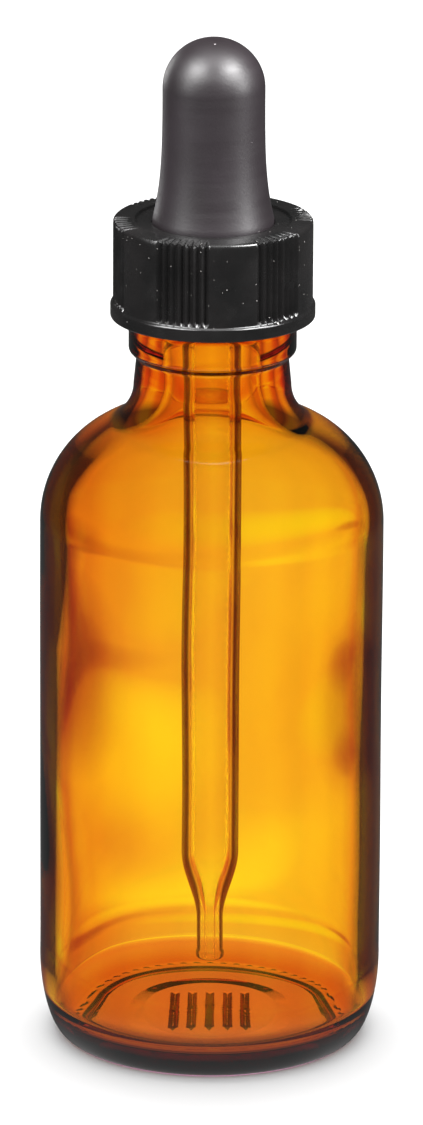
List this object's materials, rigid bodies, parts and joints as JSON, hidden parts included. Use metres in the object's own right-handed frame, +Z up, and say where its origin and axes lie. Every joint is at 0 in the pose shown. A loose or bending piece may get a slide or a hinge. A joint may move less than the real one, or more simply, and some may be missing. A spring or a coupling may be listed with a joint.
{
  "type": "dropper bottle",
  "caption": "Round-shouldered amber glass bottle with a ribbed screw cap that carries a rubber bulb and a tapered glass pipette for dosing liquid in drops.",
  "frame": {"origin": "centre of the base, on the plane that the bottle stands on", "axes": "+Z up along the bottle's axis; -Y is the side seen in the picture and +X is to its right"},
  "size_m": [0.0386, 0.0386, 0.1159],
  "materials": {
    "amber_glass": "clear amber, fire-polished",
    "black_phenolic": "semi-gloss black with fine scratches",
    "black_rubber": "matte black",
    "clear_glass": "clear, fire-polished"
  },
  "bodies": {
    "bottle": {"bottle": "amber_glass"},
    "dropper": {"pipette": "clear_glass"},
    "cap": {"cap": "black_phenolic"},
    "bulb": {"bulb": "black_rubber"}
  },
  "joints": [
    {"name": "dropper_lift", "type": "slide", "parent": "bottle", "child": "dropper", "axis": [0, 0, 1], "range_m": [0, 0.0889]},
    {"name": "cap_turn", "type": "hinge", "parent": "dropper", "child": "cap", "pos_m": [0, 0, 0.09], "axis": [0, 0, 1], "range_deg": [0, 10081]},
    {"name": "bulb_press", "type": "slide", "parent": "dropper", "child": "bulb", "axis": [0, 0, -1], "range_m": [0, 0.006], "stiffness_N_per_m": 800, "deforming": ["bulb"]}
  ],
  "couplings": [
    {"joint": "cap_turn", "follows": "dropper_lift", "rad_per_m": 1979}
  ]
}
